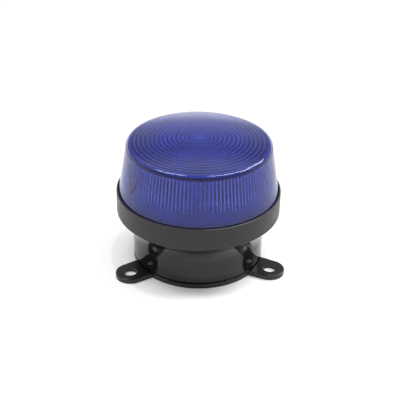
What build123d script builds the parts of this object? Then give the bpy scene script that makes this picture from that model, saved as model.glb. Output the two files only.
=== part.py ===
import os
from math import cos, degrees, radians, sin, sqrt, tan

from build123d import *

os.makedirs("parts", exist_ok=True)

# Mini strobe light: a twist-off transparent lens on a black collar and stem, closed below
# by a base plate with three fixing ears. Millimetres, +Z up, origin on the axis of the
# light at the underside of the base plate.

# Base plate with its three fixing ears
plate_thickness = 2.3
plate_edge_radius = 0.4
ear_count = 3
first_ear_angle = 90
ear_reach = 6.9
ear_tip_radius = 6.75
ear_root_width = 14.8
ear_hole_radius = 3.25
seam_height = 0.9
seam_depth = 1.0
spigot_height = 3.0
spigot_wall = 2.4
spigot_clearance = 0.05

# Stem and collar
stem_radius = 30.6
stem_wall = 2.2
stem_length = 22.0
flare_length = 12.6
flare_ledge = 0.6
collar_overhang = 7.5
collar_height = 10.8
collar_floor = 2.3
rim_wall = 0.8
collar_edge_radius = 0.5
rim_edge_radius = 0.3

# Bosses in the stem, which take plate screws from below and board screws from above
boss_count = 3
first_boss_angle = 30
boss_radius = 4.0
boss_overlap = 0.5
pad_height = 4.2

# Lens
lens_wall = 2.0
lens_gap = 0.3
lens_turn = -2.1
wall_taper_angle = 9.1
lens_edge_height = 59.4
lens_edge_radius = 2.0
dome_rise = 2.3
ring_count = 14
ring_border = 1.1
ring_depth = 0.55
centre_disc_radius = 2.6
flute_count = 126
flute_depth = 0.65
flute_length = 13.5
flute_top_drop = 3.0

# Twist lock between lens and collar
lug_count = 5
lug_angle = 34.0
tab_angle = 33.0
stop_angle = 3.0
stop_gap_angle = 0.5
lug_thickness = 1.5
tab_thickness = 1.5
tab_reach = 1.5
lock_clearance = 0.3
notch_width = 2.4
notch_depth = 0.5
notch_height = 1.7
notch_drop = 1.2
rib_width = 2.2
rib_depth = 0.6
rib_drop = 0.9

# Seals
lens_seal_thickness = 1.8
plate_seal_height = 1.2
plate_seal_depth = 1.0
plate_seal_drop = 0.9
seal_clearance = 0.05

# Lead outlet and its grommet
lead_hole_radius = 4.0
lead_bore_radius = 2.25
grommet_flange_radius = 6.0
grommet_flange = 1.4
grommet_web = 1.6
grommet_clearance = 0.05
grommet_edge_radius = 0.45
outlet_recess = 1.8
outlet_recess_radius = 7.5
outlet_seat_radius = 9.5

# Screws
screw_radius = 1.4
screw_head_radius = 2.4
screw_head_height = 1.7
screw_head_edge = 0.6
screw_length = 12.0
thread_clearance = 0.05
screw_hole_clearance = 0.2
pilot_spare = 0.5
counterbore_radius = 2.8
counterbore_depth = 2.0

# Circuit board and reflector
board_gap = 1.1
board_thickness = 1.6
reflector_gap = 1.9
reflector_opening = 9.5
reflector_thickness = 1.2
reflector_height = 2.6
reflector_rise = 1.0
reflector_leg_radius = 1.8
reflector_leg_inset = 5.1

# Flash tube, what holds it and what fires it
tube_radius = 2.1
tube_wall = 0.6
tube_end_wall = 1.2
tube_spacing = 9.2
tube_leg_length = 15.0
tube_lift = 1.4
electrode_radius = 1.1
electrode_length = 4.0
electrode_gap = 0.8
pin_radius = 0.4
sleeve_wall = 1.0
sleeve_height = 5.0
tube_clearance = 0.05
trigger_wire_radius = 0.25
trigger_turns = 3
trigger_pitch = 1.5
trigger_rise = 8.5
trigger_riser_gap = 0.1
coil_radius = 2.6
coil_length = 5.6
coil_flange_radius = 3.2
coil_flange = 0.7
coil_place = (0.0, 5.6)

# Electrolytic and film capacitors below the board
flash_capacitor_radius = 6.25
flash_capacitor_height = 19.0
flash_capacitor_place = (-10.5, -9.5)
input_capacitor_radius = 4.0
input_capacitor_height = 11.5
input_capacitor_place = (-14.5, 3.3)
can_groove = 0.4
can_groove_drop = 2.4
can_edge_radius = 0.5
film_capacitor_width = 13.0
film_capacitor_depth = 5.0
film_capacitor_height = 10.5
film_capacitor_edge = 0.8
film_capacitor_place = (0.0, 19.5)

# Inverter transformer
core_width = 16.0
core_height = 13.4
core_depth = 4.8
core_yoke = 2.2
core_outer_leg = 2.1
core_centre_leg = 4.6
core_drop = 0.8
bobbin_wall = 0.8
bobbin_clearance = 0.05
bobbin_depth = 11.6
bobbin_rail = 1.4
winding_build = 2.1
winding_edge_radius = 1.2
transformer_place = (11.0, -7.0)

# Transistor and thyristor
transistor_width = 10.0
transistor_depth = 4.4
transistor_height = 9.0
transistor_tab = 1.2
transistor_tab_height = 6.4
transistor_hole_radius = 1.7
transistor_stand = 2.6
transistor_pin = 0.8
transistor_pin_pitch = 2.54
transistor_place = (8.7, 8.5)
thyristor_radius = 2.4
thyristor_height = 4.8
thyristor_flat = 1.0
thyristor_pin_pitch = 1.27
thyristor_pin = 0.5
thyristor_stand = 2.0
thyristor_place = (-10.0, 13.4)

# Axial parts and the tags for the supply leads
resistor_radius = 1.15
resistor_cap = 0.15
resistor_length = 6.3
resistor_span = 10.2
resistor_places = [(-1.2, 2.0, 0), (-1.2, 5.6, 0), (-1.2, 9.2, 0), (-1.2, 12.8, 0)]
diode_radius = 1.35
diode_cap = 0.05
diode_length = 5.2
diode_span = 9.0
diode_places = [(-1.9, -2.4, 0), (-0.7, -12.2, 90), (-8.6, 3.4, 90)]
axial_lead_radius = 0.35
axial_lead_bend = 0.8
axial_cap_length = 1.1
axial_stand = 0.6
lead_tag_radius = 0.65
lead_tag_foot_radius = 1.3
lead_tag_foot = 0.8
lead_tag_height = 5.5
lead_tag_places = [(6.5, -17.0), (11.5, -17.0)]

# How closely an edge has to match the radius and height it is chosen by
match_tolerance = 0.01

# Levels and radii that follow from the sizes above
ear_circle_radius = stem_radius + ear_reach
collar_radius = stem_radius + collar_overhang
stem_bottom = plate_thickness + seam_height
collar_bottom = stem_bottom + stem_length
flare_start = collar_bottom - flare_length
collar_top = collar_bottom + collar_height
floor_top = collar_bottom + collar_floor
stem_bore = stem_radius - stem_wall
rim_bore = collar_radius - rim_wall
boss_circle = stem_bore - boss_radius + boss_overlap
boss_bottom = plate_thickness + pad_height
spigot_radius = stem_bore - spigot_clearance
spigot_bore = stem_bore - spigot_wall
pilot_radius = screw_radius + thread_clearance
clear_radius = screw_radius + screw_hole_clearance
board_top = floor_top + board_thickness
seal_top = floor_top + lens_seal_thickness
skirt_bottom = seal_top + lock_clearance
lug_top = skirt_bottom + lug_thickness
tab_bottom = lug_top + lock_clearance
tab_top = tab_bottom + tab_thickness
foot_bottom = tab_top + lock_clearance
wall_start = collar_top - lens_gap
foot_radius = rim_bore - lens_gap
tab_bore = rim_bore - tab_reach
skirt_radius = tab_bore - lens_gap
skirt_bore = skirt_radius - lens_wall
board_radius = skirt_bore - board_gap
reflector_radius = skirt_bore - reflector_gap
reflector_leg_circle = reflector_radius - reflector_leg_inset
apex_height = lens_edge_height + dome_rise
flute_top = lens_edge_height - flute_top_drop
flute_foot = flute_top - flute_length
lug_pitch = 360 / lug_count
front_angle = 270 + lens_turn


def outer_radius(height):
    """Outside radius of the tapered lens wall at a height."""
    return foot_radius - tan(radians(wall_taper_angle)) * (height - wall_start)


def inner_radius(height):
    """Inside radius of the plain lens wall at a height."""
    return outer_radius(height) - lens_wall


edge_radius = outer_radius(lens_edge_height)
ring_pitch = (inner_radius(flute_top) - ring_border - centre_disc_radius) / ring_count
dome_sphere = (edge_radius**2 + dome_rise**2) / (2 * dome_rise)


def dome_inside(radius):
    """Height of the underside of the dome at a radius, without its rings."""
    return apex_height - lens_wall - dome_sphere + sqrt(dome_sphere**2 - radius**2)


def radial_plane(angle, origin=(0, 0, 0)):
    """Upright plane whose x runs along a compass angle and whose y is up."""
    turn = radians(angle)
    return Plane(origin=origin, x_dir=(cos(turn), sin(turn), 0), z_dir=(sin(turn), -cos(turn), 0))


def ring_at(part, radius, height):
    """The circular edges of a part with a radius and height."""
    rings = part.edges().filter_by(GeomType.CIRCLE)
    rings = rings.filter_by(lambda ring: abs(ring.radius - radius) < match_tolerance)
    return rings.filter_by(lambda ring: abs(ring.arc_center.Z - height) < match_tolerance)


def ring_sector(height, inner, outer, middle_angle, width_angle):
    """Flat stretch of ring at a height, centred on an angle."""
    start = middle_angle - width_angle / 2
    with BuildSketch(Plane.XY.offset(height)) as sector:
        with BuildLine():
            far = CenterArc((0, 0), outer, start, width_angle)
            near = CenterArc((0, 0), inner, start, width_angle)
            Line(far @ 0, near @ 0)
            Line(far @ 1, near @ 1)
        make_face()
    return sector.sketch


# Base plate: a thin disc with three ears. Its neck leaves the seam under the stem, its
# spigot enters the stem bore, and a raised seat in the middle carries the grommet.
with BuildPart() as mounting_plate:
    with BuildSketch():
        Circle(stem_radius)
        for ear in range(ear_count):
            ear_angle = first_ear_angle + ear * 360 / ear_count
            with BuildLine(Plane.XY.rotated((0, 0, ear_angle))):
                Polyline(
                    (0, ear_root_width / 2),
                    (ear_circle_radius, ear_tip_radius),
                    (ear_circle_radius, -ear_tip_radius),
                    (0, -ear_root_width / 2),
                    close=True,
                )
            make_face()
        with PolarLocations(ear_circle_radius, ear_count, first_ear_angle):
            Circle(ear_tip_radius)
    extrude(amount=plate_thickness)
    fillet(mounting_plate.faces().sort_by(Axis.Z)[-1].edges(), plate_edge_radius)
    with BuildSketch(Plane.XY.offset(plate_thickness)):
        Circle(stem_radius - seam_depth)
        Circle(spigot_bore, mode=Mode.SUBTRACT)
    extrude(amount=seam_height)
    with BuildSketch(Plane.XY.offset(stem_bottom)):
        Circle(spigot_radius)
        Circle(spigot_bore, mode=Mode.SUBTRACT)
    extrude(amount=spigot_height)
    with BuildSketch(Plane.XY.offset(plate_thickness)):
        with PolarLocations(boss_circle, boss_count, first_boss_angle):
            Circle(spigot_radius - boss_circle)
    extrude(amount=pad_height)
    with BuildSketch(Plane.XY.offset(stem_bottom + plate_seal_drop)):
        Circle(spigot_radius)
        Circle(spigot_radius - plate_seal_depth, mode=Mode.SUBTRACT)
    extrude(amount=plate_seal_height, mode=Mode.SUBTRACT)
    with BuildSketch(Plane.XY):
        Circle(outlet_seat_radius)
    extrude(amount=outlet_recess + grommet_web)
    with BuildSketch(Plane.XY):
        Circle(outlet_recess_radius)
    extrude(amount=outlet_recess, mode=Mode.SUBTRACT)
    Hole(lead_hole_radius)
    with PolarLocations(ear_circle_radius, ear_count, first_ear_angle):
        Hole(ear_hole_radius)
    with PolarLocations(boss_circle, boss_count, first_boss_angle):
        Hole(clear_radius)
    with BuildSketch(Plane.XY):
        with PolarLocations(boss_circle, boss_count, first_boss_angle):
            Circle(counterbore_radius)
    extrude(amount=counterbore_depth, mode=Mode.SUBTRACT)
mounting_plate.part.label = "mounting_plate"
export_step(mounting_plate.part, "parts/mounting_plate.step")


# Rubber ring in the groove of the spigot, against the bore of the stem.
with BuildPart() as plate_seal:
    with BuildSketch(Plane.XY.offset(stem_bottom + plate_seal_drop)):
        Circle(spigot_radius)
        Circle(spigot_radius - plate_seal_depth + seal_clearance, mode=Mode.SUBTRACT)
    extrude(amount=plate_seal_height)
plate_seal.part.label = "plate_seal"
export_step(plate_seal.part, "parts/plate_seal.step")


# Rubber grommet: two flanges with the web of the plate between them.
with BuildPart() as lead_grommet:
    web_bottom = outlet_recess
    web_top = outlet_recess + grommet_web
    with BuildSketch(Plane.XY.offset(web_bottom - grommet_flange)):
        Circle(grommet_flange_radius)
    extrude(amount=grommet_flange)
    with BuildSketch(Plane.XY.offset(web_bottom)):
        Circle(lead_hole_radius - grommet_clearance)
    extrude(amount=grommet_web)
    with BuildSketch(Plane.XY.offset(web_top)):
        Circle(grommet_flange_radius)
    extrude(amount=grommet_flange)
    fillet(ring_at(lead_grommet, grommet_flange_radius, web_top + grommet_flange), grommet_edge_radius)
    fillet(ring_at(lead_grommet, grommet_flange_radius, web_bottom - grommet_flange), grommet_edge_radius)
    Hole(lead_bore_radius)
lead_grommet.part.label = "lead_grommet"
export_step(lead_grommet.part, "parts/lead_grommet.step")


# Housing: the stem with its flare, the collar with the rim that takes the lens, three screw
# bosses on the stem wall, and the tabs and stops of the twist lock on the inside of the rim.
with BuildPart() as housing:
    flare_end = (collar_radius - flare_ledge, collar_bottom)
    with BuildSketch(Plane.XZ):
        with BuildLine():
            Polyline(
                (stem_bore, stem_bottom),
                (stem_radius, stem_bottom),
                (stem_radius, flare_start),
            )
            TangentArc((stem_radius, flare_start), flare_end, tangent=(0, 1))
            Polyline(
                flare_end,
                (collar_radius, collar_bottom),
                (collar_radius, collar_top),
                (rim_bore, collar_top),
                (rim_bore, floor_top),
                (stem_bore, floor_top),
                (stem_bore, stem_bottom),
            )
        make_face()
    revolve(axis=Axis.Z)
    fillet(ring_at(housing, collar_radius, collar_bottom), collar_edge_radius)
    fillet(ring_at(housing, collar_radius, collar_top), rim_edge_radius)
    with BuildSketch(Plane.XY.offset(boss_bottom)):
        with PolarLocations(boss_circle, boss_count, first_boss_angle):
            Circle(boss_radius)
    extrude(amount=floor_top - boss_bottom)
    with BuildSketch(Plane.XY.offset(boss_bottom)):
        with PolarLocations(boss_circle, boss_count, first_boss_angle):
            Circle(pilot_radius)
    extrude(amount=screw_length + counterbore_depth - boss_bottom + pilot_spare, mode=Mode.SUBTRACT)
    with BuildSketch(Plane.XY.offset(floor_top)):
        with PolarLocations(boss_circle, boss_count, first_boss_angle):
            Circle(pilot_radius)
    extrude(amount=board_thickness - screw_length - pilot_spare, mode=Mode.SUBTRACT)
    for lug in range(lug_count):
        tab_middle = front_angle + lug * lug_pitch
        stop_middle = tab_middle - lug_angle / 2 - stop_gap_angle - stop_angle / 2
        tab_face = ring_sector(tab_bottom, tab_bore, rim_bore + rim_wall / 2, tab_middle, tab_angle)
        extrude(tab_face, amount=tab_thickness)
        stop_face = ring_sector(skirt_bottom, tab_bore, rim_bore + rim_wall / 2, stop_middle, stop_angle)
        extrude(stop_face, amount=tab_top - skirt_bottom)
housing.part.label = "housing"
export_step(housing.part, "parts/housing.step")


# Flat rubber gasket that the skirt of the lens closes on.
with BuildPart() as lens_seal:
    with BuildSketch(Plane.XY.offset(floor_top)):
        Circle(skirt_radius)
        Circle(skirt_bore, mode=Mode.SUBTRACT)
    extrude(amount=lens_seal_thickness)
lens_seal.part.label = "lens_seal"
export_step(lens_seal.part, "parts/lens_seal.step")


# Lens: a tapered cup with a shallow dome. The skirt and its lugs go into the collar, the
# foot closes the rim, upright flutes line the wall and rings line the dome.
with BuildPart() as lens:
    with BuildSketch(Plane.XZ):
        with BuildLine():
            Polyline(
                (0, apex_height),
                (0, skirt_bottom),
                (skirt_radius, skirt_bottom),
                (skirt_radius, foot_bottom),
                (foot_radius, foot_bottom),
                (foot_radius, wall_start),
                (edge_radius, lens_edge_height),
            )
            TangentArc((0, apex_height), (edge_radius, lens_edge_height), tangent=(1, 0))
        make_face()
    revolve(axis=Axis.Z)
    fillet(ring_at(lens, edge_radius, lens_edge_height), lens_edge_radius)
    # Hollow of the skirt and of the plain band above it
    with BuildSketch(Plane.XZ):
        with BuildLine():
            Polyline(
                (0, skirt_bottom),
                (skirt_bore, skirt_bottom),
                (skirt_bore, foot_bottom),
                (inner_radius(wall_start), wall_start),
                (inner_radius(flute_foot), flute_foot),
                (0, flute_foot),
                close=True,
            )
        make_face()
    revolve(axis=Axis.Z, mode=Mode.SUBTRACT)
    # Rings under the dome, each a ridge between two circles
    ring_points = [(0, flute_top), (inner_radius(flute_top), flute_top)]
    ring_points.append((inner_radius(flute_top), dome_inside(inner_radius(flute_top))))
    for ring in range(ring_count, 0, -1):
        valley = centre_disc_radius + ring * ring_pitch
        ridge = valley - ring_pitch / 2
        ring_points.append((valley, dome_inside(valley)))
        ring_points.append((ridge, dome_inside(ridge) - ring_depth))
    ring_points.append((centre_disc_radius, dome_inside(centre_disc_radius)))
    ring_points.append((0, dome_inside(centre_disc_radius)))
    with BuildSketch(Plane.XZ):
        with BuildLine():
            Polyline(*ring_points, close=True)
        make_face()
    revolve(axis=Axis.Z, mode=Mode.SUBTRACT)
    # Lugs, and at both ends of each one a notch in the foot and a rib inside the wall
    notch_angle = degrees(notch_width / foot_radius)
    rib_angle = degrees(rib_width / inner_radius(flute_foot))
    rib_top = flute_foot - rib_drop
    for lug in range(lug_count):
        lug_middle = front_angle + lug * lug_pitch
        lug_face = ring_sector(skirt_bottom, skirt_radius - lens_wall / 2, foot_radius, lug_middle, lug_angle)
        extrude(lug_face, amount=lug_thickness)
        for side in (-1, 1):
            end_angle = lug_middle + side * lug_angle / 2
            notch_face = ring_sector(
                wall_start - notch_drop, foot_radius - notch_depth, collar_radius, end_angle, notch_angle
            )
            extrude(notch_face, amount=notch_height, mode=Mode.SUBTRACT)
            with BuildSketch(radial_plane(end_angle - rib_angle / 2)):
                with BuildLine():
                    Polyline(
                        (inner_radius(wall_start) - rib_depth, wall_start),
                        (inner_radius(wall_start) + lens_wall / 2, wall_start),
                        (inner_radius(rib_top) + lens_wall / 2, rib_top),
                        (inner_radius(rib_top) - rib_depth, rib_top),
                        close=True,
                    )
                make_face()
            revolve(axis=Axis.Z, revolution_arc=rib_angle)
    # Flutes: V grooves between two levels of the tapered wall
    for level in (flute_foot, flute_top):
        crest = inner_radius(level)
        flute_points = []
        for step in range(2 * flute_count):
            reach = crest + flute_depth * (step % 2)
            turn = radians(step * 180 / flute_count)
            flute_points.append((reach * cos(turn), reach * sin(turn)))
        with BuildSketch(Plane.XY.offset(level)):
            with BuildLine():
                Polyline(*flute_points, close=True)
            make_face()
    loft(ruled=True, mode=Mode.SUBTRACT)
lens.part.label = "lens"
export_step(lens.part, "parts/lens.step")


def screw_set(seat, point):
    """Three pan-head screws on the boss circle, each with its seat and point at two levels."""
    up = 1 if point > seat else -1
    with BuildPart() as screws:
        with BuildSketch(Plane.XY.offset(seat)):
            with PolarLocations(boss_circle, boss_count, first_boss_angle):
                Circle(screw_head_radius)
        extrude(amount=-up * screw_head_height)
        fillet(ring_at(screws, screw_head_radius, seat - up * screw_head_height), screw_head_edge)
        with BuildSketch(Plane.XY.offset(seat)):
            with PolarLocations(boss_circle, boss_count, first_boss_angle):
                Circle(screw_radius)
        extrude(amount=up * screw_length)
    return screws.part


# Screws from below that hold the base plate to the bosses.
plate_screws = screw_set(counterbore_depth, counterbore_depth + screw_length)
plate_screws.label = "plate_screws"
export_step(plate_screws, "parts/plate_screws.step")


# Screws from above that hold the circuit board to the same bosses.
board_screws = screw_set(board_top, board_top - screw_length)
board_screws.label = "board_screws"
export_step(board_screws, "parts/board_screws.step")


# Round circuit board on the floor of the collar.
with BuildPart() as circuit_board:
    with BuildSketch(Plane.XY.offset(floor_top)):
        Circle(board_radius)
        with PolarLocations(boss_circle, boss_count, first_boss_angle):
            Circle(clear_radius, mode=Mode.SUBTRACT)
    extrude(amount=board_thickness)
circuit_board.part.label = "circuit_board"
export_step(circuit_board.part, "parts/circuit_board.step")


# White reflector: a shallow dish on three legs, open in the middle for the flash tube.
with BuildPart() as reflector:
    dish_bottom = board_top + reflector_height
    dish_slope = reflector_rise / (reflector_radius - reflector_opening)
    leg_top = dish_bottom + dish_slope * (reflector_leg_circle - reflector_opening) + reflector_thickness / 2
    with BuildSketch(Plane.XZ):
        with BuildLine():
            Polyline(
                (reflector_opening, dish_bottom),
                (reflector_radius, dish_bottom + reflector_rise),
                (reflector_radius, dish_bottom + reflector_rise + reflector_thickness),
                (reflector_opening, dish_bottom + reflector_thickness),
                close=True,
            )
        make_face()
    revolve(axis=Axis.Z)
    with BuildSketch(Plane.XY.offset(board_top)):
        with PolarLocations(reflector_leg_circle, boss_count, first_boss_angle + 180 / boss_count):
            Circle(reflector_leg_radius)
    extrude(amount=leg_top - board_top)
reflector.part.label = "reflector"
export_step(reflector.part, "parts/reflector.step")


# Flash tube: a glass U, hollow between its two closed ends.
tube_bottom = board_top + tube_lift
tube_bend = tube_spacing / 2
with BuildPart() as xenon_tube:
    for bore, end_wall, mode in ((0, 0, Mode.ADD), (tube_wall, tube_end_wall, Mode.SUBTRACT)):
        start = (-tube_bend, tube_bottom + end_wall)
        with BuildLine(Plane.XZ) as tube_path:
            left_leg = Line(start, (-tube_bend, tube_bottom + tube_leg_length))
            bend = TangentArc(left_leg @ 1, (tube_bend, tube_bottom + tube_leg_length), tangent=left_leg % 1)
            Line(bend @ 1, (tube_bend, tube_bottom + end_wall))
        with BuildSketch(Plane(origin=(start[0], 0, start[1]), z_dir=(0, 0, 1))):
            Circle(tube_radius - bore)
        sweep(path=tube_path.wires()[0], mode=mode)
    with BuildSketch(Plane.XY.offset(tube_bottom)):
        with GridLocations(tube_spacing, 0, 2, 1):
            Circle(pin_radius + tube_clearance)
    extrude(amount=tube_end_wall, mode=Mode.SUBTRACT)
xenon_tube.part.label = "xenon_tube"
export_step(xenon_tube.part, "parts/xenon_tube.step")


# Electrode and pin in each end of the tube.
with BuildPart() as tube_electrodes:
    electrode_bottom = tube_bottom + tube_end_wall + electrode_gap
    with BuildSketch(Plane.XY.offset(board_top)):
        with GridLocations(tube_spacing, 0, 2, 1):
            Circle(pin_radius)
    extrude(amount=electrode_bottom - board_top)
    with BuildSketch(Plane.XY.offset(electrode_bottom)):
        with GridLocations(tube_spacing, 0, 2, 1):
            Circle(electrode_radius)
    extrude(amount=electrode_length)
tube_electrodes.part.label = "tube_electrodes"
export_step(tube_electrodes.part, "parts/tube_electrodes.step")


# Soft sleeves that stand on the board and hold the legs of the tube.
sleeve_bore = tube_radius + tube_clearance
with BuildPart() as tube_sleeves:
    with BuildSketch(Plane.XY.offset(board_top)):
        with GridLocations(tube_spacing, 0, 2, 1):
            Circle(sleeve_bore + sleeve_wall)
            Circle(sleeve_bore, mode=Mode.SUBTRACT)
    extrude(amount=sleeve_height)
tube_sleeves.part.label = "tube_sleeves"
export_step(tube_sleeves.part, "parts/tube_sleeves.step")


# Trigger wire: it rises from the board between the legs and winds round one of them.
with BuildPart() as trigger_wire:
    turn_radius = sleeve_bore + trigger_wire_radius
    turn_start = board_top + trigger_rise
    riser_x = -tube_bend + sleeve_bore + sleeve_wall + trigger_riser_gap + trigger_wire_radius
    with BuildSketch(Plane.XY.offset(board_top)):
        with Locations((riser_x, 0)):
            Circle(trigger_wire_radius)
    extrude(amount=turn_start + trigger_wire_radius - board_top)
    with BuildSketch(Plane.YZ.offset(turn_radius - tube_bend)):
        with Locations((0, turn_start)):
            Circle(trigger_wire_radius)
    extrude(amount=riser_x - turn_radius + tube_bend)
    with BuildLine():
        coils = Helix(trigger_pitch, trigger_turns * trigger_pitch, turn_radius, (-tube_bend, 0, turn_start))
    with BuildSketch(Plane(origin=coils @ 0, z_dir=coils % 0)):
        Circle(trigger_wire_radius)
    sweep(path=coils, is_frenet=True)
trigger_wire.part.label = "trigger_wire"
export_step(trigger_wire.part, "parts/trigger_wire.step")


# Trigger coil: a small upright spool of wire on the board.
with BuildPart() as trigger_coil:
    spool_top = board_top + coil_flange + coil_length
    with BuildSketch(Plane.XY.offset(board_top)):
        with Locations(coil_place):
            Circle(coil_radius)
    extrude(amount=2 * coil_flange + coil_length)
    for flange_bottom in (board_top, spool_top):
        with BuildSketch(Plane.XY.offset(flange_bottom)):
            with Locations(coil_place):
                Circle(coil_flange_radius)
        extrude(amount=coil_flange)
trigger_coil.part.label = "trigger_coil"
export_step(trigger_coil.part, "parts/trigger_coil.step")


def electrolytic_can(place, radius, height):
    """Round can that hangs from the board, with a crimp groove near its mouth."""
    with BuildPart() as can:
        with BuildSketch(radial_plane(0, (*place, floor_top))):
            with BuildLine():
                Polyline(
                    (0, 0),
                    (radius, 0),
                    (radius, -can_groove_drop + can_groove),
                    (radius - can_groove, -can_groove_drop),
                    (radius, -can_groove_drop - can_groove),
                    (radius, -height),
                    (0, -height),
                    close=True,
                )
            make_face()
        revolve(axis=Axis((*place, 0), (0, 0, 1)))
        fillet(ring_at(can, radius, floor_top - height), can_edge_radius)
    return can.part


# Flash capacitor, the largest part below the board.
flash_capacitor = electrolytic_can(flash_capacitor_place, flash_capacitor_radius, flash_capacitor_height)
flash_capacitor.label = "flash_capacitor"
export_step(flash_capacitor, "parts/flash_capacitor.step")


# Input capacitor across the supply.
input_capacitor = electrolytic_can(input_capacitor_place, input_capacitor_radius, input_capacitor_height)
input_capacitor.label = "input_capacitor"
export_step(input_capacitor, "parts/input_capacitor.step")


# Film capacitor of the trigger circuit, a box with rounded upright edges.
with BuildPart() as film_capacitor:
    with BuildSketch(Plane.XY.offset(floor_top)):
        with Locations(film_capacitor_place):
            RectangleRounded(film_capacitor_width, film_capacitor_depth, film_capacitor_edge)
    extrude(amount=-film_capacitor_height)
film_capacitor.part.label = "film_capacitor"
export_step(film_capacitor.part, "parts/film_capacitor.step")


# Transformer core: two yokes and three legs, with its centre leg upright.
core_top = floor_top - core_drop
window_height = core_height - 2 * core_yoke
window_width = (core_width - core_centre_leg) / 2 - core_outer_leg
window_middle = core_centre_leg / 2 + window_width / 2
with BuildPart() as transformer_core:
    with BuildSketch(radial_plane(0, (*transformer_place, core_top - core_height / 2))):
        Rectangle(core_width, core_height)
        with GridLocations(2 * window_middle, 0, 2, 1):
            Rectangle(window_width, window_height, mode=Mode.SUBTRACT)
    extrude(amount=core_depth / 2, both=True)
transformer_core.part.label = "transformer_core"
export_step(transformer_core.part, "parts/transformer_core.step")


# Bobbin: a square tube on the centre leg, two flanges and the two rails on the board.
bobbin_top = core_top - core_yoke - bobbin_clearance
bobbin_bottom = core_top - core_height + core_yoke + bobbin_clearance
tube_width = core_centre_leg + 2 * (bobbin_clearance + bobbin_wall)
tube_depth = core_depth + 2 * (bobbin_clearance + bobbin_wall)
flange_width = core_centre_leg + 2 * (window_width - bobbin_clearance)
winding_width = tube_width + 2 * winding_build
winding_depth = tube_depth + 2 * winding_build
with BuildPart() as transformer_bobbin:
    with BuildSketch(Plane.XY.offset(bobbin_bottom)):
        with Locations(transformer_place):
            Rectangle(tube_width, tube_depth)
    extrude(amount=bobbin_top - bobbin_bottom)
    for flange_bottom in (bobbin_bottom, bobbin_top - bobbin_wall):
        with BuildSketch(Plane.XY.offset(flange_bottom)):
            with Locations(transformer_place):
                Rectangle(flange_width, bobbin_depth)
        extrude(amount=bobbin_wall)
    with BuildSketch(Plane.XY.offset(bobbin_top)):
        with Locations(transformer_place):
            with GridLocations(0, bobbin_depth - bobbin_rail, 1, 2):
                Rectangle(flange_width, bobbin_rail)
    extrude(amount=floor_top - bobbin_top)
    with BuildSketch(Plane.XY.offset(bobbin_bottom)):
        with Locations(transformer_place):
            Rectangle(core_centre_leg + 2 * bobbin_clearance, core_depth + 2 * bobbin_clearance)
    extrude(amount=bobbin_top - bobbin_bottom, mode=Mode.SUBTRACT)
transformer_bobbin.part.label = "transformer_bobbin"
export_step(transformer_bobbin.part, "parts/transformer_bobbin.step")


# Winding between the flanges of the bobbin.
with BuildPart() as transformer_winding:
    with BuildSketch(Plane.XY.offset(bobbin_bottom + bobbin_wall)):
        with Locations(transformer_place):
            RectangleRounded(winding_width, winding_depth, winding_edge_radius)
            Rectangle(tube_width, tube_depth, mode=Mode.SUBTRACT)
    extrude(amount=bobbin_top - bobbin_bottom - 2 * bobbin_wall)
transformer_winding.part.label = "transformer_winding"
export_step(transformer_winding.part, "parts/transformer_winding.step")


# Switching transistor: three pins, the moulded body and the metal tab with its hole.
with BuildPart() as switching_transistor:
    body_top = floor_top - transistor_stand
    body_bottom = body_top - transistor_height
    tab_face_y = transistor_depth / 2 - transistor_tab / 2
    with BuildSketch(Plane.XY.offset(floor_top)):
        with Locations(transistor_place):
            with GridLocations(transistor_pin_pitch, 0, 3, 1):
                Rectangle(transistor_pin, transistor_pin)
    extrude(amount=-transistor_stand)
    with BuildSketch(Plane.XY.offset(body_top)):
        with Locations(transistor_place):
            Rectangle(transistor_width, transistor_depth)
    extrude(amount=-transistor_height)
    with BuildSketch(Plane.XY.offset(body_bottom)):
        with Locations((transistor_place[0], transistor_place[1] + tab_face_y)):
            Rectangle(transistor_width, transistor_tab)
    extrude(amount=-transistor_tab_height)
    hole_origin = (*transistor_place, body_bottom - transistor_tab_height / 2)
    with BuildSketch(radial_plane(0, hole_origin)):
        Circle(transistor_hole_radius)
    extrude(amount=transistor_depth, both=True, mode=Mode.SUBTRACT)
switching_transistor.part.label = "switching_transistor"
export_step(switching_transistor.part, "parts/switching_transistor.step")


# Thyristor that fires the trigger coil: a round body with one flat side.
with BuildPart() as thyristor:
    with BuildSketch(Plane.XY.offset(floor_top)):
        with Locations(thyristor_place):
            with GridLocations(thyristor_pin_pitch, 0, 3, 1):
                Rectangle(thyristor_pin, thyristor_pin)
    extrude(amount=-thyristor_stand)
    with BuildSketch(Plane.XY.offset(floor_top - thyristor_stand)):
        with Locations(thyristor_place):
            Circle(thyristor_radius)
        with Locations((thyristor_place[0], thyristor_place[1] - thyristor_radius)):
            Rectangle(2 * thyristor_radius, 2 * thyristor_flat, mode=Mode.SUBTRACT)
    extrude(amount=-thyristor_height)
thyristor.part.label = "thyristor"
export_step(thyristor.part, "parts/thyristor.step")


def axial_part(place, radius, cap, length, span):
    """A round body lying below the board on two bent leads, as (x, y, turn in degrees)."""
    x, y, turn = place
    upright = radial_plane(turn, (x, y, floor_top))
    level = -axial_stand - radius - cap
    end = length / 2
    cap_end = end - axial_cap_length
    with BuildPart() as axial:
        with BuildLine(upright) as lead:
            FilletPolyline(
                (-span / 2, 0), (-span / 2, level), (span / 2, level), (span / 2, 0), radius=axial_lead_bend
            )
        with BuildSketch(Plane(origin=lead.wires()[0] @ 0, z_dir=(0, 0, -1))):
            Circle(axial_lead_radius)
        sweep(path=lead.wires()[0])
        with BuildSketch(upright):
            with BuildLine():
                Polyline(
                    (-end, level),
                    (-end, level + radius + cap),
                    (-cap_end, level + radius + cap),
                    (-cap_end, level + radius),
                    (cap_end, level + radius),
                    (cap_end, level + radius + cap),
                    (end, level + radius + cap),
                    (end, level),
                    close=True,
                )
            make_face()
        revolve(axis=Axis((x, y, floor_top + level), tuple(upright.x_dir)))
    return axial.part


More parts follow.
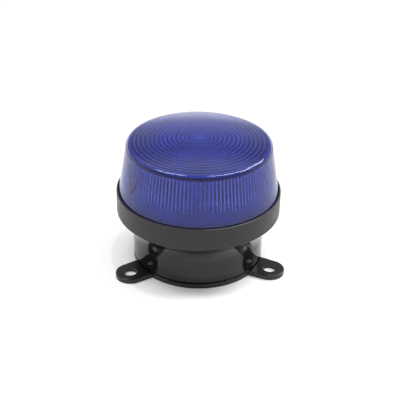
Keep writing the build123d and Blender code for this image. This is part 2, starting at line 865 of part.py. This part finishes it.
# Resistors in a row, each on two leads.
with BuildPart() as resistors:
    for place in resistor_places:
        add(axial_part(place, resistor_radius, resistor_cap, resistor_length, resistor_span))
resistors.part.label = "resistors"
export_step(resistors.part, "parts/resistors.step")


# Diodes of the voltage doubler and the supply.
with BuildPart() as diodes:
    for place in diode_places:
        add(axial_part(place, diode_radius, diode_cap, diode_length, diode_span))
diodes.part.label = "diodes"
export_step(diodes.part, "parts/diodes.step")


# Two tags on the board for the supply leads.
with BuildPart() as lead_tags:
    with BuildSketch(Plane.XY.offset(floor_top)):
        with Locations(*lead_tag_places):
            Circle(lead_tag_foot_radius)
    extrude(amount=-lead_tag_foot)
    with BuildSketch(Plane.XY.offset(floor_top)):
        with Locations(*lead_tag_places):
            Circle(lead_tag_radius)
    extrude(amount=-lead_tag_height)
lead_tags.part.label = "lead_tags"
export_step(lead_tags.part, "parts/lead_tags.step")
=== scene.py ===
from math import asin, atan2, cos, hypot, pi, radians, sin, sqrt, tan

import bmesh
import bpy
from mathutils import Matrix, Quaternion, Vector


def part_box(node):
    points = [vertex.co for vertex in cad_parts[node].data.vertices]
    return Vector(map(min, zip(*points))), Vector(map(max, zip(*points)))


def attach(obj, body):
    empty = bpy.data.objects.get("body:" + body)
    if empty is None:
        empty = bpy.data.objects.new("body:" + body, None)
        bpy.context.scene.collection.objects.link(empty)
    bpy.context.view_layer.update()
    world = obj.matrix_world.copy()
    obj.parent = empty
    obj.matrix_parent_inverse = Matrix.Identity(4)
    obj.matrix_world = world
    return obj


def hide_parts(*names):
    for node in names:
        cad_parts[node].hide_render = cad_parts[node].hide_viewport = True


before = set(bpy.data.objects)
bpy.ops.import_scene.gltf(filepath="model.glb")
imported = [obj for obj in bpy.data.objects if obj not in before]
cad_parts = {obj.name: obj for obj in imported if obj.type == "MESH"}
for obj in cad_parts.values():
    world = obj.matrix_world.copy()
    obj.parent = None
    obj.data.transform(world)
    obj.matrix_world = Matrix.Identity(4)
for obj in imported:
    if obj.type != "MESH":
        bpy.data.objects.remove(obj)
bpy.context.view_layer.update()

# Camera: a long lens a little left of the front, looking down on the light. Its distance, its
# angles and the small roll were fitted to the outline of the lens, collar, stem and ears.
camera_distance = 0.44253
camera_rise = radians(30.219)
camera_side = radians(4.326)
camera_roll = radians(0.982)
camera_target = Vector((0, 0, 0.0286))
camera_level = cos(camera_rise)
camera_way = Vector((-sin(camera_side) * camera_level, -cos(camera_side) * camera_level, sin(camera_rise)))
camera_data = bpy.data.cameras.new("camera")
camera_data.lens = 85.07
camera_data.sensor_width = 36
camera_data.shift_x = 0.0039
camera_data.shift_y = 0.0012
camera_data.clip_end = 20
camera = bpy.data.objects.new("camera", camera_data)
bpy.context.collection.objects.link(camera)
camera.rotation_mode = "QUATERNION"
camera.rotation_quaternion = (-camera_way).to_track_quat("-Z", "Y") @ Quaternion((0, 0, 1), camera_roll)
camera.location = camera_target + camera_distance * camera_way
bpy.context.scene.camera = camera
bpy.context.scene.view_settings.view_transform = "Standard"


# Studio: a white table with no edge in sight, a pale surround, a broad soft lamp overhead and three
# narrower lamps that draw the white lines on the shoulder of the lens.
class Socket:
    """One output of a shader node, on which sums are written as plain expressions."""

    def __init__(self, tree, output):
        self.tree = tree
        self.output = output

    def node(self, kind, settings=None, sockets=None, output=0):
        """Adds a node to the same tree: its settings first, then the values or links of its sockets."""
        new = self.tree.nodes.new(kind)
        for name, value in (settings or {}).items():
            if name == "stops":
                ramp = new.color_ramp.elements
                while len(ramp) < len(value):
                    ramp.new(1)
                for stop, (position, shade) in zip(ramp, value):
                    stop.position = position
                    stop.color = (*shade, 1) if isinstance(shade, tuple) else (shade, shade, shade, 1)
            else:
                setattr(new, name, value)
        for name, value in (sockets or {}).items():
            if isinstance(value, Socket):
                self.tree.links.new(value.output, new.inputs[name])
            else:
                new.inputs[name].default_value = value
        return Socket(self.tree, new.outputs[output] if new.outputs else None)

    def sum(self, operation, *values):
        """A Math node on these values."""
        return self.node("ShaderNodeMath", {"operation": operation}, dict(enumerate(values)))

    def __add__(self, other):
        return self.sum("ADD", self, other)

    def __sub__(self, other):
        return self.sum("SUBTRACT", self, other)

    def __rsub__(self, other):
        return self.sum("SUBTRACT", other, self)

    def __mul__(self, other):
        return self.sum("MULTIPLY", self, other)

    __radd__ = __add__
    __rmul__ = __mul__

    def above(self, level, soft):
        """0 below a level and 1 above it, over a soft step."""
        ends = {"Value": self, "From Min": level - soft, "From Max": level + soft}
        return self.node("ShaderNodeMapRange", {"interpolation_type": "SMOOTHSTEP"}, ends)

    def between(self, middle, reach):
        """1 within this reach of a value, falling softly to 0."""
        return 1 - self.sum("ABSOLUTE", self - middle).above(reach, reach / 3)

    def noise(self, scale, detail=2.0, roughness=0.5):
        """Cloudy noise over this vector, from 0 to 1."""
        sockets = {"Vector": self, "Scale": scale, "Detail": detail, "Roughness": roughness}
        return self.node("ShaderNodeTexNoise", {}, sockets)

    def axis(self, name):
        """One part of this vector: X, Y or Z."""
        return self.node("ShaderNodeSeparateXYZ", {}, {0: self}, name)

    def blend(self, low, high):
        """A colour between two, by this factor."""
        low = low if isinstance(low, Socket) else (*low, 1)
        high = high if isinstance(high, Socket) else (*high, 1)
        return self.node("ShaderNodeMix", {"data_type": "RGBA"}, {0: self, 6: low, 7: high}, 2)

    def bump(self, strength, distance):
        """A Bump normal from this height, in metres."""
        return self.node("ShaderNodeBump", {}, {"Height": self, "Strength": strength, "Distance": distance})


def empty_tree(owner):
    """The empty node tree of a material, lamp or world."""
    owner.use_nodes = True
    owner.node_tree.nodes.clear()
    return Socket(owner.node_tree, None)


def ray(tree, name):
    """1 for this kind of ray, otherwise 0."""
    return tree.node("ShaderNodeLightPath", {}, {}, name)


def seen_white(tree):
    """1 for what the camera, a reflection or a view through glass sees, otherwise 0."""
    seen = tree.sum("MAXIMUM", ray(tree, "Is Camera Ray"), ray(tree, "Is Glossy Ray"))
    return tree.sum("MAXIMUM", seen, ray(tree, "Is Transmission Ray"))


def object_place(tree):
    """The place on the object, in metres from its origin."""
    return tree.node("ShaderNodeTexCoord", {}, {}, "Object")


# What a glossy or clear surface mirrors, by how far upward it looks, from level at 0 to straight up
# at 1. It is dimmer in front, and a pale backdrop behind the table shows in the dome.
surround_stops = [
    (0.0, 1.0), (0.30, 0.85), (0.43, 0.45), (0.53, 0.28),
    (0.58, 0.45), (0.64, 0.9), (0.78, 0.8), (1.0, 0.34),
]
front_share = 0.45
room_grey = (0.5, 0.5, 0.5)
backdrop_top = 0.24
backdrop_edge = 0.7
backdrop_glow = 1.6
world = bpy.data.worlds.new("studio")
bpy.context.scene.world = world
tree = empty_tree(world)
direction = tree.node("ShaderNodeTexCoord", {}, {}, "Generated")
upward = direction.axis("Z")
backward = direction.axis("Y")
surround = upward.node("ShaderNodeValToRGB", {"stops": surround_stops}, {0: upward})
surround = (front_share + (1 - front_share) * backward.above(-0.15, 0.35)).blend((0, 0, 0), surround)
light_shade = seen_white(tree).blend(room_grey, surround)
world_shade = ray(tree, "Is Camera Ray").blend(light_shade, (1, 1, 1))
backdrop = (1 - upward.above(backdrop_top, 0.07)) * backward.above(backdrop_edge, 0.2)
strength = 1.0 + backdrop_glow * (backdrop * ray(tree, "Is Glossy Ray"))
shader = tree.node("ShaderNodeBackground", {}, {"Color": world_shade, "Strength": strength})
shader.node("ShaderNodeOutputWorld", {}, {"Surface": shader})

# The table glows white by itself, least under the light and in its holes, where its shadow lies.
floor_size = 6.0
base_reach = 0.0415
far_reach = 0.45
base_glow = 0.08
near_glow = 0.62
far_glow = 0.3
bpy.ops.object.select_all(action="DESELECT")
bpy.ops.mesh.primitive_plane_add(size=floor_size)
floor = bpy.context.object
floor.name = "floor"
floor_material = bpy.data.materials.new("white_table")
tree = empty_tree(floor_material)
paper = tree.node("ShaderNodeBsdfDiffuse", {}, {"Color": (0.86, 0.86, 0.86, 1)})
glow = tree.node("ShaderNodeEmission", {}, {"Color": (1, 1, 1, 1), "Strength": 1.0})
place = object_place(tree)
reach = place.node("ShaderNodeVectorMath", {"operation": "LENGTH"}, {0: place}, 1)
own_glow = base_glow + near_glow * reach.above(base_reach, 0.001) + far_glow * reach.above(far_reach, 0.3)
share = seen_white(tree) * own_glow
floor_mix = tree.node("ShaderNodeMixShader", {}, {0: share, 1: paper, 2: glow})
floor_mix.node("ShaderNodeOutputMaterial", {}, {"Surface": floor_mix})
floor.data.materials.append(floor_material)


def soft_lamp(name, place, width, depth, power, mirrored=True):
    """A rectangular lamp turned to the light; one that isn't mirrored draws no highlights."""
    data = bpy.data.lights.new(name, "AREA")
    data.shape = "RECTANGLE"
    data.size = width
    data.size_y = depth
    data.energy = power
    lamp = bpy.data.objects.new(name, data)
    bpy.context.collection.objects.link(lamp)
    lamp.location = place
    lamp.rotation_euler = (camera_target - Vector(place)).to_track_quat("-Z", "Y").to_euler()
    lamp.visible_glossy = mirrored
    lamp.visible_transmission = mirrored


soft_lamp("overhead_lamp", (0.05, 0.25, 1.2), 0.9, 0.5, 4.0, mirrored=False)
soft_lamp("left_strip_lamp", (-0.39, 0.0, 0.92), 0.30, 0.50, 5.2)
soft_lamp("right_strip_lamp", (0.45, 0.0, 0.89), 0.30, 0.75, 7.6)
soft_lamp("right_back_lamp", (0.60, 0.36, 0.70), 0.30, 0.35, 3.6)


# Lens: one moulding of clear deep blue plastic. It is turned from an outline, with rings under
# the dome and upright flutes inside the wall, and its five lugs turn under tabs in the collar.
lens_low, lens_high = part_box("lens")
lens_wall = 0.0020
skirt_radius = 0.0355
foot_radius = 0.0370
skirt_height = 0.0036
foot_height = 0.0025
foot_bottom = lens_low.z + skirt_height
wall_start = foot_bottom + foot_height
taper_angle = 9.1
wall_taper = tan(radians(taper_angle))
dome_rise = 0.0023
edge_height = lens_high.z - dome_rise
shoulder_radius = 0.0020
ring_count = 14
ring_pitch = 0.0020
ring_depth = 0.00055
centre_disc = 0.0026
flute_count = 126
flute_depth = 0.00065
flute_length = 0.0135
flute_top = edge_height - 0.0030
flute_foot = flute_top - flute_length
lens_turn = radians(-92.1)
lug_count = 5
lug_angle = radians(34)
lug_height = 0.0015
notch_reach = radians(1.9)
notch_drop = 0.0012
notch_rise = 0.0005
outer_notch_depth = 0.0005
inner_notch_depth = 0.0006
rib_gap = 0.0009


def wall_radius(height):
    """Outside radius of the tapered wall."""
    return foot_radius - wall_taper * (height - wall_start)


edge_radius = wall_radius(edge_height)
dome_sphere = (edge_radius**2 + dome_rise**2) / (2 * dome_rise)


def dome_height(radius):
    """Height of the outside of the dome."""
    return lens_high.z - dome_sphere + sqrt(dome_sphere**2 - radius**2)


# The shoulder is an arc that meets both the wall and the dome.
dome_slope = asin(edge_radius / dome_sphere)
wall_slope = radians(90 - taper_angle)
shoulder_turn = wall_slope - dome_slope
shoulder_reach = shoulder_radius * tan(shoulder_turn / 2)
shoulder_low = edge_height - shoulder_reach * sin(wall_slope)
shoulder_centre = Vector((wall_radius(shoulder_low), shoulder_low))
shoulder_centre -= shoulder_radius * Vector((sin(wall_slope), cos(wall_slope)))
outline = [(skirt_radius - lens_wall, lens_low.z), (skirt_radius, lens_low.z)]
lug_top = lens_low.z + lug_height
# A hair's breadth between two lines of vertices keeps a step in the wall crisp.
hair = 0.00002
outline += [(skirt_radius, lug_top), (skirt_radius, lug_top + hair), (skirt_radius, foot_bottom)]
notch_low = wall_start - notch_drop
notch_high = wall_start + notch_rise
outline += [(foot_radius, foot_bottom), (foot_radius, notch_low), (foot_radius, notch_low + hair)]
outline += [(foot_radius, wall_start), (wall_radius(notch_high), notch_high)]
outline += [(wall_radius(notch_high + hair), notch_high + hair)]
wall_rings = 12
for ring in range(1, wall_rings):
    height = notch_high + (shoulder_low - notch_high) * ring / wall_rings
    outline.append((wall_radius(height), height))
shoulder_steps = 10
for step in range(shoulder_steps + 1):
    tilt = wall_slope - shoulder_turn * step / shoulder_steps
    point = shoulder_centre + shoulder_radius * Vector((sin(tilt), cos(tilt)))
    outline.append((point.x, point.y))
dome_start = outline[-1][0]
dome_rings = 16
for ring in range(1, dome_rings):
    radius = dome_start * (1 - ring / dome_rings)
    outline.append((radius, dome_height(radius)))
outline.append((0, lens_high.z))
outline.append((0, dome_height(centre_disc) - lens_wall))
outline.append((centre_disc, dome_height(centre_disc) - lens_wall))
# Each ring is a V that hangs down: shares of its pitch back from the next valley, and of its depth.
ring_section = ((0.75, 0.5), (0.5, 1), (0.25, 0.5), (0, 0))
for ring in range(1, ring_count + 1):
    valley = centre_disc + ring * ring_pitch
    for back, dip in ring_section:
        radius = valley - back * ring_pitch
        outline.append((radius, dome_height(radius) - lens_wall - dip * ring_depth))
top_corner = wall_radius(flute_top) - lens_wall
outline.append((top_corner, dome_height(top_corner) - lens_wall))
outline += [(top_corner, flute_top + hair), (top_corner, flute_top)]
foot_inside = wall_radius(flute_foot) - lens_wall
outline += [(foot_inside, flute_foot), (foot_inside, flute_foot - hair)]
rib_top = flute_foot - rib_gap
outline += [(wall_radius(rib_top + hair) - lens_wall, rib_top + hair)]
outline += [(wall_radius(rib_top) - lens_wall, rib_top)]
outline += [(foot_radius - lens_wall, wall_start + hair), (foot_radius - lens_wall, wall_start)]
outline += [(skirt_radius - lens_wall, foot_bottom)]


def turned(name, points, steps):
    """A closed outline of (radius, height) points, drawn from one vertex and spun about the axis."""
    bpy.ops.object.select_all(action="DESELECT")
    bpy.ops.mesh.primitive_plane_add(size=0.001, location=(points[0][0], 0, points[0][1]))
    piece = bpy.context.object
    piece.name = name
    bpy.ops.object.mode_set(mode="EDIT")
    bpy.ops.mesh.merge(type="CENTER")
    for (radius, height), (next_radius, next_height) in zip(points, points[1:] + points[:1]):
        reach = (next_radius - radius, 0, next_height - height)
        bpy.ops.mesh.extrude_vertices_move(TRANSFORM_OT_translate={"value": reach})
    bpy.ops.mesh.select_all(action="SELECT")
    bpy.ops.mesh.remove_doubles(threshold=0.000001)
    bpy.ops.mesh.spin(steps=steps, angle=2 * pi, center=(0, 0, 0), axis=(0, 0, 1))
    bpy.ops.mesh.select_all(action="SELECT")
    bpy.ops.mesh.remove_doubles(threshold=0.000001)
    bpy.ops.mesh.normals_make_consistent(inside=False)
    bpy.ops.mesh.select_all(action="DESELECT")
    bpy.ops.object.mode_set(mode="OBJECT")
    bpy.ops.object.transform_apply(location=True, rotation=True, scale=True)
    return piece


def push(piece, chosen, reach):
    """Moves the chosen vertices of a turned piece outwards, each by the same share of its radius."""
    bpy.ops.object.select_all(action="DESELECT")
    piece.select_set(True)
    bpy.context.view_layer.objects.active = piece
    bpy.ops.object.mode_set(mode="EDIT")
    bpy.ops.mesh.select_mode(type="VERT")
    bpy.ops.mesh.select_all(action="DESELECT")
    shape = bmesh.from_edit_mesh(piece.data)
    radius = 0
    for vertex in shape.verts:
        away = hypot(vertex.co.x, vertex.co.y)
        if chosen(atan2(vertex.co.y, vertex.co.x), away, vertex.co.z):
            vertex.select = True
            radius = max(radius, away)
    shape.select_flush(True)
    share = 1 + reach / radius
    bpy.ops.transform.resize(value=(share, share, 1), center_override=(0, 0, 0))
    bpy.ops.object.mode_set(mode="OBJECT")


lens_steps = 4 * flute_count
lens = turned("blue_lens", outline, lens_steps)


def flute_column(angle, share):
    """Whether an angle lies on a line of vertices at this share of a flute, 0 to 3 quarters."""
    return round(angle / (2 * pi) * lens_steps) % 4 == share


def in_flute(radius, height):
    """Whether a vertex of the inner wall is at the head or the foot of the flutes."""
    at_end = abs(height - flute_top) < hair / 2 or abs(height - flute_foot) < hair / 2
    return at_end and radius < wall_radius(height) - lens_wall / 2


push(lens, lambda a, r, h: in_flute(r, h) and flute_column(a, 2), flute_depth)
push(lens, lambda a, r, h: in_flute(r, h) and (flute_column(a, 1) or flute_column(a, 3)), flute_depth / 2)


def off_lug_end(angle):
    """The angle between a place and the nearest end of a lug."""
    turn = (angle - lens_turn) % (2 * pi / lug_count)
    return min(abs(turn - lug_angle / 2), abs(turn - 2 * pi / lug_count + lug_angle / 2))


def on_lug(angle):
    """Whether a place lies on one of the lugs, with room for its end faces."""
    turn = (angle - lens_turn) % (2 * pi / lug_count)
    return min(turn, 2 * pi / lug_count - turn) < lug_angle / 2 - 2 * pi / lens_steps


def in_range(height, low, high):
    """Whether a height lies in a range, with its ends."""
    return low - hair / 4 < height < high + hair / 4


push(lens, lambda a, r, h: on_lug(a) and in_range(h, lens_low.z, lug_top)
     and r > skirt_radius - lens_wall / 2, foot_radius - skirt_radius)
push(lens, lambda a, r, h: off_lug_end(a) < notch_reach and in_range(h, notch_low + hair, notch_high)
     and r > foot_radius - lens_wall / 2, -outer_notch_depth)
push(lens, lambda a, r, h: off_lug_end(a) < notch_reach and in_range(h, wall_start + hair, rib_top)
     and r < wall_radius(h) - lens_wall / 2, -inner_notch_depth)
# This angle rounds the rings, which are shallow, and leaves the flutes sharp.
bpy.ops.object.shade_smooth_by_angle(angle=radians(66))

lens_material = bpy.data.materials.new("clear_blue_plastic")
tree = empty_tree(lens_material)
place = object_place(tree)
x, y, z = [place.axis(name) for name in "XYZ"]
flow = place.noise(60, 3)
scuffs = place.node("ShaderNodeMapping", {}, {"Vector": place, "Scale": (1, 1, 0.35)}).noise(900, 4, 0.6)
dust = place.noise(1500, 1).above(0.79, 0.02)

# Painted shade: the blue is darkened on one side of each ring, between the flutes and in the solid wall
# under the shoulder, where refraction in the real lens makes dark lines and bands. Painted highlights: small
# bright dots lie in two rows low on the flutes.
away = place.sum("SQRT", x * x + y * y)
ring_side = place.sum("PINGPONG", (away - centre_disc) * (1 / ring_pitch), 0.5)
ringed = z.above(flute_top + hair, hair)
ringed = ringed * away.above(centre_disc, 0.0001) * (1 - away.above(top_corner, 0.0002))
# Painted shade along each ring of the dome.
painted_ring_shade = ringed * (1 - ring_side.above(0.22, 0.06))
flute_side = place.sum("PINGPONG", place.sum("ARCTAN2", y, x) * (flute_count / (2 * pi)), 0.5)
fluted = z.above(flute_foot, 0.0003) * (1 - z.above(flute_top, 0.0001))
# Painted shade between the flutes.
painted_flute_shade = fluted * (1 - flute_side.above(0.16, 0.08))
corner_low = edge_height - 0.0022
corner_high = edge_height - 0.0009
# Painted shade in the solid wall under the shoulder.
painted_corner_shade = z.above(corner_low, 0.0002) * (1 - z.above(corner_high, 0.0002))
glint_rise = 0.0001
second_glint_rise = 0.0040
glint_rows = z.between(flute_foot + glint_rise, 0.0007) + z.between(flute_foot + second_glint_rise, 0.0006)
# Painted highlights: bright dots in two rows low on the flutes.
painted_glints = glint_rows * flute_side.above(0.3, 0.05) * place.noise(420, 2).above(0.56, 0.02)

# A fine knit line of the moulding runs down the left of the wall and up again, like a narrow V.
knit_foot = 0.0430
knit_head = 0.0550
knit_short_head = 0.0515
knit_place = radians(-59.5)
knit_lean = radians(875)
knit_short_lean = radians(650)
knit_angle = place.sum("ARCTAN2", x, -1 * y) - knit_place
knit_left = (knit_angle + (z - knit_foot) * knit_lean).between(0, radians(1.0))
knit_right = (knit_angle - (z - knit_foot) * knit_short_lean).between(0, radians(0.9))
outer_wall = (away + z * wall_taper).above(foot_radius + wall_start * wall_taper - lens_wall / 2, 0.0001)
knit_line = place.sum("MAXIMUM", knit_left, knit_right * (1 - z.above(knit_short_head, 0.0003)))
knit_line = knit_line * outer_wall * z.above(knit_foot, 0.0002) * (1 - z.above(knit_head, 0.0003))

clear_blue = flow.blend((0.07, 0.11, 0.66), (0.09, 0.135, 0.74))
foot_blue = (0.045, 0.065, 0.36)
# Colour of the painted shade along the rings.
ring_shade_blue = (0.012, 0.016, 0.14)
# Colour of the painted shade between the flutes.
flute_shade_blue = (0.012, 0.016, 0.12)
# Colour of the painted highlight dots.
glint_highlight_blue = (0.1, 0.32, 1.0)
knit_blue = (0, 0, 0.02)
# Colour of the painted shade under the shoulder.
corner_shade_blue = (0.004, 0.004, 0.09)
foot_band = 1 - z.above(flute_foot, 0.0003)
tint = (foot_band * 0.6).blend(clear_blue, foot_blue)
tint = (painted_ring_shade * 0.8).blend(tint, ring_shade_blue)
tint = (painted_flute_shade * 0.85).blend(tint, flute_shade_blue)
tint = painted_glints.blend(tint, glint_highlight_blue)
tint = knit_line.blend(tint, knit_blue)
tint = (painted_corner_shade * 0.95).blend(tint, corner_shade_blue)
# The wall is polished outside, a little scuffed and dusty, and less polished in the flutes.
gloss = 0.03 + 0.05 * scuffs.above(0.62, 0.1) + 0.3 * dust + 0.22 * fluted * (1 - outer_wall)
shader = tree.node("ShaderNodeBsdfPrincipled", {}, {
    "Base Color": tint,
    "Roughness": gloss,
    "Transmission Weight": 0.85,
    "IOR": 1.49,
    "Normal": flow.bump(0.01, 0.0002),
})
shader.node("ShaderNodeOutputMaterial", {}, {"Surface": shader})
lens.data.materials.append(lens_material)
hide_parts("lens")
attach(lens, "lens_cap")


def dress(material, *names):
    """Gives CAD pieces a material."""
    for name in names:
        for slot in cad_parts[name].material_slots:
            slot.material = material


def moulding(name, colour, worn, gloss, grain, grain_depth, **extra):
    """A plain moulded or coated surface with cloudy colour, uneven gloss and a fine grain."""
    material = bpy.data.materials.new(name)
    tree = empty_tree(material)
    place = object_place(tree)
    cloud = place.noise(90, 4, 0.6)
    fine = place.noise(grain, 2)
    sockets = {
        "Base Color": cloud.blend(colour, worn),
        "Roughness": gloss + 0.12 * (cloud - 0.5),
        "Normal": fine.bump(0.25, grain_depth),
        **extra,
    }
    shader = tree.node("ShaderNodeBsdfPrincipled", {}, sockets)
    shader.node("ShaderNodeOutputMaterial", {}, {"Surface": shader})
    return material


# Housing: collar and stem in one black moulding. The collar has a satin spark finish with handling
# marks on it, and the stem below comes glossy from a polished part of the mould.
housing_material = bpy.data.materials.new("black_housing_plastic")
tree = empty_tree(housing_material)
place = object_place(tree)
collar_depth = 0.0108
collar_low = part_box("housing")[1].z - collar_depth
on_collar = place.axis("Z").above(collar_low, 0.0004)
cloud = place.noise(120, 4, 0.6)
smear = place.noise(230, 3, 0.7).above(0.60, 0.06) * on_collar
specks = place.noise(2600, 1).above(0.80, 0.012)
fine = place.noise(5200, 2)
stem_black = (0.006, 0.006, 0.006)
collar_black = (0.016, 0.016, 0.0165)
smear_black = (0.004, 0.004, 0.005)
dust_grey = (0.16, 0.16, 0.15)
black = on_collar.blend(stem_black, collar_black)
black = (smear * 0.35).blend(black, smear_black)
black = (specks * 0.5).blend(black, dust_grey)
gloss = 0.07 + 0.05 * cloud + on_collar * 0.32 - smear * 0.14 + specks * 0.3
shader = tree.node("ShaderNodeBsdfPrincipled", {}, {
    "Base Color": black,
    "Roughness": gloss,
    "IOR": 1.44,
    "Normal": (fine * on_collar).bump(0.25, 0.00003),
})
shader.node("ShaderNodeOutputMaterial", {}, {"Surface": shader})
dress(housing_material, "housing")

# Mounting plate: thin glossy black plate with three ears, a little paler in cloudy patches where it
# has been handled.
plate_black = (0.005, 0.005, 0.0055)
rubbed_black = (0.009, 0.009, 0.009)
dress(moulding("black_plate_plastic", plate_black, rubbed_black, 0.16, 3000, 0.00001), "mounting_plate")

# Seals and grommet: soft black rubber with a dull moulded skin.
rubber = moulding("black_rubber", (0.014, 0.014, 0.014), (0.03, 0.03, 0.029), 0.62, 2400, 0.00005)
dress(rubber, "lens_seal", "plate_seal", "lead_grommet")

# Screws: zinc plated steel.
plated = moulding("zinc_plate", (0.52, 0.52, 0.50), (0.66, 0.65, 0.60), 0.30, 3000, 0.00002, Metallic=1.0)
dress(plated, "plate_screws", "board_screws")

# Circuit board: green solder mask over glass cloth.
mask_green = moulding("solder_mask", (0.02, 0.10, 0.035), (0.03, 0.14, 0.05), 0.35, 1800, 0.00003)
dress(mask_green, "circuit_board")

# Reflector: bright white moulding.
white = moulding("white_moulding", (0.78, 0.78, 0.76), (0.84, 0.84, 0.82), 0.30, 1500, 0.00002)
dress(white, "reflector")

# Flash tube: clear glass, with bright metal electrodes and pins, milky sleeves and a wire.
glass = moulding("tube_glass", (0.95, 0.97, 0.97), (0.98, 0.99, 0.99), 0.07, 1500, 0.00001, **{
    "Transmission Weight": 1.0, "IOR": 1.47})
dress(glass, "xenon_tube")
tinned = moulding("tinned_metal", (0.62, 0.62, 0.60), (0.74, 0.73, 0.70), 0.22, 3000, 0.00001, Metallic=1.0)
dress(tinned, "tube_electrodes", "trigger_wire", "lead_tags")
milky = moulding("silicone", (0.62, 0.62, 0.60), (0.72, 0.72, 0.70), 0.55, 2000, 0.00003)
dress(milky, "tube_sleeves")

# Parts on the board: lacquered coil, sleeved cans, dipped film capacitor, ferrite core in a black
# bobbin with yellow tape, moulded transistors and diodes, and lacquered resistors.
dress(moulding("coil_lacquer", (0.35, 0.10, 0.025), (0.5, 0.17, 0.04), 0.3, 2400, 0.00004), "trigger_coil")
dress(moulding("can_sleeve", (0.012, 0.02, 0.06), (0.02, 0.03, 0.09), 0.28, 1500, 0.00002),
      "flash_capacitor", "input_capacitor")
dress(moulding("film_coating", (0.34, 0.035, 0.02), (0.46, 0.06, 0.035), 0.35, 900, 0.00006),
      "film_capacitor")
dress(moulding("ferrite", (0.035, 0.035, 0.04), (0.06, 0.06, 0.065), 0.5, 2400, 0.00005), "transformer_core")
dress(moulding("bobbin_plastic", (0.015, 0.015, 0.015), (0.03, 0.03, 0.03), 0.4, 1800, 0.00003),
      "transformer_bobbin")
dress(moulding("winding_tape", (0.62, 0.42, 0.03), (0.76, 0.55, 0.06), 0.35, 700, 0.00008),
      "transformer_winding")
dress(moulding("moulded_epoxy", (0.018, 0.018, 0.02), (0.035, 0.035, 0.036), 0.5, 2600, 0.00004),
      "switching_transistor", "thyristor", "diodes")
dress(moulding("resistor_lacquer", (0.5, 0.36, 0.2), (0.62, 0.47, 0.3), 0.35, 1500, 0.00003), "resistors")
